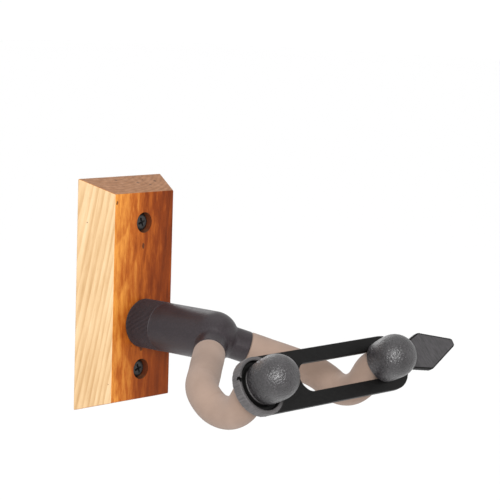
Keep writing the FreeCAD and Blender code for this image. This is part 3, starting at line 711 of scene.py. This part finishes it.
def arm_line(side):
    """Points, headings and inward directions along one padded arm, at even steps. The arm
    spreads from the hub, turns forward, dips, climbs and levels off at its cap. A bend
    towards 1 turns upward, one towards -1 downward."""
    sideways = Vector((side, 0, 0))
    forward = Vector((0, -math.cos(DIP), -math.sin(DIP)))
    heading = sideways * math.cos(SPREAD) + forward * math.sin(SPREAD)
    inward = forward * math.cos(SPREAD) - sideways * math.sin(SPREAD)
    pieces = [
        (SPREAD_RUN - FOAM_START, None, 0, 0),
        (0, inward, SHOULDER_RADIUS, math.pi / 2 - SPREAD),
        (0, 1, DIP_RADIUS, DIP + CLIMB),
        (CLIMB_RUN, None, 0, 0),
        (0, -1, TIP_RADIUS, CLIMB - TIP),
        (TIP_RUN - FOAM_END, None, 0, 0),
    ]
    place = Vector((0, -ARM_ROOT, 0)) + heading * FOAM_START
    line = [(place.copy(), heading.copy(), None)]
    for run, towards, radius, turn in pieces:
        if towards is None:
            count = max(2, round(run / LINE_STEP))
            for _ in range(count):
                place = place + heading * (run / count)
                line.append((place.copy(), heading.copy(), None))
            continue
        if isinstance(towards, int):
            towards = heading.cross(Vector((1, 0, 0))) * towards
        count = max(4, round(radius * turn / LINE_STEP))
        centre = place + towards * radius
        first = heading.copy()
        for step in range(1, count + 1):
            angle = turn * step / count
            place = centre + (first * math.sin(angle) - towards * math.cos(angle)) * radius
            heading = first * math.cos(angle) + towards * math.sin(angle)
            inside = towards * math.cos(angle) - first * math.sin(angle)
            line.append((place.copy(), heading.copy(), inside.copy()))
    return line


def tube_frames(line):
    """Two directions across the tube at each point, carried along it without twist."""
    frames = []
    side_axis = Vector((0, 0, 1)).cross(line[0][1]).normalized()
    for _, heading, _ in line:
        side_axis = (side_axis - heading * side_axis.dot(heading)).normalized()
        frames.append((side_axis.copy(), heading.cross(side_axis)))
    return frames


def bend_shares(line, window=9):
    """1 where the tube is bent and 0 where it is straight, eased at the ends of each bend."""
    bent = [0.0 if inside is None else 1.0 for _, _, inside in line]
    kernel = np.ones(2 * window + 1) / (2 * window + 1)
    return np.convolve(np.pad(bent, window, mode="edge"), kernel, mode="valid")


def bend_insides(line):
    """Direction to the inside of the last bend at each point."""
    insides = []
    last = Vector((0, 0, 1))
    for _, _, inside in line:
        last = inside or last
        insides.append(last)
    return insides


def foam_sleeve(side, hand):
    """Foam tube drawn over the rod: it flattens a little in each bend, wrinkles on the inside
    of it, waves faintly along its length, and its cut ends are rounded over."""
    line = arm_line(side)
    points = [entry[0] for entry in line]
    frames = tube_frames(line)
    bending = bend_shares(line)
    insides = bend_insides(line)
    travelled = [0.0]
    for before, after in zip(points, points[1:]):
        travelled.append(travelled[-1] + (after - before).length)
    total = travelled[-1]
    random = np.random.default_rng(7 + side)
    waves = [(random.uniform(0.012, 0.035), random.uniform(0, 6.28), random.integers(1, 4))
             for _ in range(6)]

    def radius_at(index, angle):
        along = travelled[index]
        across, up = frames[index]
        spoke = across * math.cos(angle) + up * math.sin(angle)
        inward = spoke.dot(insides[index])
        reach = FOAM_RADIUS
        reach -= FOAM_WRINKLE * bending[index] * abs(inward)
        crease = max(0.0, inward) ** 2 * bending[index]
        fold = 0.5 + 0.5 * math.sin(along / WRINKLE_PITCH * 2 * math.pi)
        reach -= FOAM_WRINKLE * crease * fold
        for length, phase, lobes in waves:
            reach += FOAM_WAVE * math.sin(along / length * 6.28 + phase + lobes * angle)
        edge = min(along, total - along) / FOAM_END_ROUND
        if edge < 1:
            reach -= FOAM_END_ROUND * (1 - math.sqrt(1 - (1 - edge) ** 2))
        return min(reach, FOAM_RADIUS + 0.05 * MM)

    foam = new_piece(f"{hand}_foam_tube", *tube(points, frames, radius_at, 72))
    foam.data.materials.append(foam_material)
    keep_sharp(foam, 60)
    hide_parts(f"{hand}_foam_sleeve")
    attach(foam, "yoke")


foam_material = foam_paint()
for foam_side, foam_hand in ((-1, "left"), (1, "right")):
    foam_sleeve(foam_side, foam_hand)


# ---------------------------------------------------------------- ribbed collar


def ribbed_collar():
    """Sleeve with rounded fine ribs all round that die out at a plain rim at each end."""
    back, front = 20.1 * MM, 36.1 * MM
    outer = 12.6 * MM
    ribs, depth, rim = 120, 0.28 * MM, 0.5 * MM

    def radius_at(radius, height, angle):
        if radius < outer - 1 * MM:
            return radius
        inset = min(height - back, front - height)
        share = min(1.0, max(0.0, (inset - rim) / (0.25 * MM)))
        wave = 0.5 - 0.5 * math.cos(ribs * angle)
        return radius - depth * share * wave ** 1.5

    inner, chamfer = 3.97 * MM, 0.4 * MM
    lines = [(inner, back), (outer - chamfer, back), (outer, back + chamfer)]
    for inset in (0.5, 0.62, 0.75, 3, 6):
        lines.append((outer, back + inset * MM))
    for inset in (6, 3, 0.75, 0.62, 0.5):
        lines.append((outer, front - inset * MM))
    lines += [(outer, front - chamfer), (outer - chamfer, front), (inner, front)]
    collar = new_piece("fine_ribbed_collar", *lathe(lines, ribs * 6, radius_at, closed=True),
                       axis_frame())
    keep_sharp(collar, 40)
    collar.data.materials.append(collar_paint(ribs))
    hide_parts("ribbed_collar")
    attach(collar, "yoke")


ribbed_collar()


# ---------------------------------------------------------------- screws, bolt and nut

COUNTERBORE_DEEP = 5.2 * MM
HEAD_HEIGHT = 3.3 * MM
SCREW_LONG = 41.0 * MM
SCREW_RISES = {"upper": 51.9 * MM, "lower": -24.3 * MM}
POCKET_DEEP = 11.5 * MM
WASHER_STACK = (1.6 + 1.1 + 0.7) * MM


def thread_radius(depth, pitch, start, finish):
    """radius_at for a helical thread between two heights, running out at both ends."""
    def radius_at(radius, height, angle):
        if not start < height < finish:
            return radius
        phase = (height / pitch - angle / (2 * math.pi)) % 1.0
        flank = abs(phase * 2 - 1)
        groove = max(0.0, min(1.0, 1.25 * (1 - flank) - 0.08))
        fade = min(1.0, (height - start) / pitch, (finish - height) / pitch + 0.3)
        return radius - depth * groove * fade
    return radius_at


def cross_blade(turn, reach, width, depth, top, matrix):
    """Cutter for one arm of a cross-head recess, tapered towards its floor."""
    turned = matrix @ Matrix.Rotation(math.radians(turn), 4, "Z")
    vertices = []
    for height, share in ((top - depth, 0.42), (top + 0.5 * MM, 1.12)):
        for x, y in ((-1, -1), (1, -1), (1, 1), (-1, 1)):
            vertices.append((x * reach * share, y * width / 2 * (0.6 + 0.4 * share), height))
    faces = [(3, 2, 1, 0), (4, 5, 6, 7), (0, 1, 5, 4), (1, 2, 6, 5), (2, 3, 7, 6), (3, 0, 4, 7)]
    return new_piece("blade", vertices, faces, turned)


def wall_screw(hand, rise):
    """Black pan-head screw with a cross recess, plain shank and coarse wood thread."""
    seat = BLOCK_FACE - COUNTERBORE_DEEP
    crown = seat + HEAD_HEIGHT
    tip = seat - SCREW_LONG
    shank, thread, head = 2.1 * MM, 2.4 * MM, 4.75 * MM
    pitch = 2.1 * MM
    head_curve = rounded([(head, seat), (head, seat + 2.0 * MM), (3.4 * MM, crown),
                          (0, crown)], [0, 1.2 * MM, 1.4 * MM, 0], steps=8, closed=False)
    profile = [(0, tip), (0.25 * MM, tip + 0.2 * MM)]
    rows = round((0 - tip) / (pitch / 14))
    for row in range(1, rows):
        height = tip + 0.2 * MM + (0 - tip - 0.2 * MM) * row / rows
        profile.append((min(thread, 0.25 * MM + (height - tip) / (7 * MM) * thread), height))
    profile += [(shank, 0.0), (shank, seat)]
    profile += head_curve
    shape = thread_radius(0.62 * MM, pitch, tip + 0.6 * MM, -0.1 * MM)
    matrix = axis_frame(rise)
    screw = new_piece(f"{hand}_threaded_screw", *lathe(profile, 48, shape), matrix)
    for turn in (20, 110):
        cut(screw, cross_blade(turn, 2.5 * MM, 1.15 * MM, 2.0 * MM, crown, matrix))
    outward(screw)
    keep_sharp(screw, 40)
    screw.data.materials.append(black_steel)
    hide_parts(f"{hand}_wall_screw")
    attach(screw, "block")


def hex_radius(flats, low, high, chamfer):
    """radius_at for a hexagon with its corners turned off at both ends at 30 degrees."""
    corner = flats / math.sqrt(3)

    def radius_at(radius, height, angle):
        if radius < flats * 0.49:
            return radius
        turned = (angle % (math.pi / 3)) - math.pi / 6
        side = flats / 2 / math.cos(turned)
        room = min(height - low, high - height) if chamfer else 1.0
        cone = flats * 0.485 + room / math.tan(math.radians(30))
        return min(side, corner, cone)
    return radius_at


def hex_rows(flats, low, high):
    rows = [low, low + 0.25 * MM, low + 0.5 * MM, low + 0.75 * MM, low + 1.0 * MM]
    rows += [high - 1.0 * MM, high - 0.75 * MM, high - 0.5 * MM, high - 0.25 * MM, high]
    return [(flats * 0.55, height) for height in rows]


def pivot_bolt():
    """Hex bolt: its head sits in the hub, and its threaded end shows in the nut."""
    start, finish = 0.9 * MM, 58.0 * MM
    shank, flats, tall = 3.97 * MM, 12.7 * MM, 5.3 * MM
    thread_end = 20.0 * MM
    pitch = 1.41 * MM
    profile = [(0, start), (shank - 0.7 * MM, start), (shank, start + 0.7 * MM)]
    rows = round((thread_end - start - 0.7 * MM) / (pitch / 12))
    for row in range(1, rows):
        profile.append((shank, start + 0.7 * MM + (thread_end - start - 0.7 * MM) * row / rows))
    profile += [(shank, thread_end), (shank, finish)]
    profile += hex_rows(flats, finish, finish + tall)
    profile += [(0, finish + tall)]
    screw = thread_radius(0.42 * MM, pitch, start + 0.1 * MM, thread_end)
    head = hex_radius(flats, finish, finish + tall, True)

    def radius_at(radius, height, angle):
        return head(radius, height, angle) if height >= finish else screw(radius, height, angle)

    bolt = new_piece("threaded_pivot_bolt", *lathe(profile, 72, radius_at), axis_frame())
    keep_sharp(bolt, 38)
    bolt.data.materials.append(zinc)
    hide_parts("pivot_bolt")
    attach(bolt, "yoke")


def lock_nut():
    """Hex lock nut with turned corners and a rolled collar."""
    seat = POCKET_DEEP - WASHER_STACK
    back = seat - 5.6 * MM
    collar = back - 1.9 * MM
    flats, bore = 12.7 * MM, 4.02 * MM
    profile = [(bore, back), (5.15 * MM, back), (5.15 * MM, collar + 0.25 * MM),
               (5.3 * MM, collar), (5.6 * MM, collar), (5.9 * MM, collar + 0.3 * MM),
               (5.9 * MM, back + 0.05 * MM)]
    profile += hex_rows(flats, back + 0.06 * MM, seat)
    profile += [(bore + 0.4 * MM, seat), (bore, seat - 0.4 * MM)]
    nut = new_piece("turned_lock_nut", *lathe(
        profile, 72, hex_radius(flats, back, seat, True), closed=True), axis_frame())
    keep_sharp(nut, 30)
    nut.data.materials.append(zinc)
    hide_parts("lock_nut")
    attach(nut, "yoke")


black_steel = metal_paint("black_phosphate", (0.014, 0.013, 0.013), 0.46, metallic=0.3)
zinc = metal_paint("bright_zinc", (0.63, 0.64, 0.62), 0.28)
for screw_hand, screw_rise in SCREW_RISES.items():
    wall_screw(screw_hand, screw_rise)
pivot_bolt()
lock_nut()


# ---------------------------------------------------------------- materials of carried-over nodes

carried = {
    "wood_block": wood_paint(),
    "pivot_bushing": rubber_paint("bearing_plastic", (0.020, 0.020, 0.022),
                                  (0.032, 0.032, 0.034), 0.6 * MM, 0.00002, 0.42),
    "rear_washer": zinc,
    "spring_washer": metal_paint("oiled_spring_steel", (0.30, 0.30, 0.31), 0.34),
    "lock_nut_insert": rubber_paint("natural_nylon", (0.66, 0.66, 0.60), (0.74, 0.74, 0.69),
                                    0.8 * MM, 0.00002, 0.45),
    "yoke_hub": rubber_paint("hub_plastic", (0.0125, 0.0088, 0.0106), (0.0215, 0.0160, 0.0188),
                             0.55 * MM, 0.00005, 0.42, shine=0.28),
    "left_arm_rod": metal_paint("plated_rod", (0.50, 0.50, 0.50), 0.30),
}
carried["right_arm_rod"] = carried["left_arm_rod"]
for node_name, material in carried.items():
    node = frame["nodes"][node_name]
    node.data.materials.clear()
    node.data.materials.append(material)

for node_name in ("rear_washer", "spring_washer", "lock_nut_insert", "pivot_bushing"):
    edge = frame["nodes"][node_name].modifiers.new("eased", "BEVEL")
    edge.width = 0.12 * MM
    edge.segments = 2
    edge.limit_method = "ANGLE"
    edge.angle_limit = math.radians(40)


# ---------------------------------------------------------------- floor, lights and camera


def plane(name, size, height, material):
    half = size / 2
    floor = new_piece(name, [(-half, -half, height), (half, -half, height),
                             (half, half, height), (-half, half, height)], [(0, 1, 2, 3)])
    floor.data.materials.append(material)
    return floor


floor_paint = Paint("pale_floor", Base_Color=(0.97, 0.97, 0.97, 1), Roughness=0.9)
plane("floor", 60.0, -0.9, floor_paint.material)


def softbox(name, place, target, size, power, tint=(1, 1, 1)):
    light = bpy.data.lights.new(name, "AREA")
    light.shape = "RECTANGLE"
    light.size, light.size_y = size
    light.energy = power
    light.color = tint
    lamp = bpy.data.objects.new(name, light)
    bpy.context.scene.collection.objects.link(lamp)
    lamp.location = place
    lamp.rotation_mode = "QUATERNION"
    lamp.rotation_quaternion = (Vector(target) - Vector(place)).to_track_quat("-Z", "Y")
    return lamp


centre = (0.0, -0.08, 0.0)
softbox("key", (-0.85, -0.85, 0.34), centre, (0.42, 0.42), 17.0)
softbox("left_fill", (-1.3, -0.1, 0.2), centre, (0.8, 1.2), 2.5)
softbox("right_fill", (0.9, -1.2, 0.3), centre, (0.8, 0.8), 2.5)
softbox("overhead", (0.1, -0.2, 1.3), centre, (1.2, 1.2), 4.0)
softbox("behind", (0.5, 1.1, 0.6), centre, (1.0, 1.0), 5.0)

world = bpy.data.worlds.new("pale_studio")
world.use_nodes = True
world.node_tree.nodes["Background"].inputs["Color"].default_value = (1.0, 1.0, 1.0, 1)
world.node_tree.nodes["Background"].inputs["Strength"].default_value = 1.03
bpy.context.scene.world = world
bpy.context.scene.view_settings.view_transform = "Standard"

CAMERA_PLACE = Vector((-0.71627, -0.74425, 0.17001))
CAMERA_TARGET = Vector((0.04971, -0.04757, 0.03714))
CAMERA_ROLL = math.radians(1.7783)
lens = bpy.data.cameras.new("camera")
lens.sensor_width = 36.0
lens.lens = 144.0
camera = bpy.data.objects.new("camera", lens)
bpy.context.scene.collection.objects.link(camera)
camera.location = CAMERA_PLACE
camera.rotation_mode = "QUATERNION"
aim = (CAMERA_TARGET - CAMERA_PLACE).to_track_quat("-Z", "Y")
camera.rotation_quaternion = aim @ Quaternion((0, 0, 1), CAMERA_ROLL)
bpy.context.scene.camera = camera
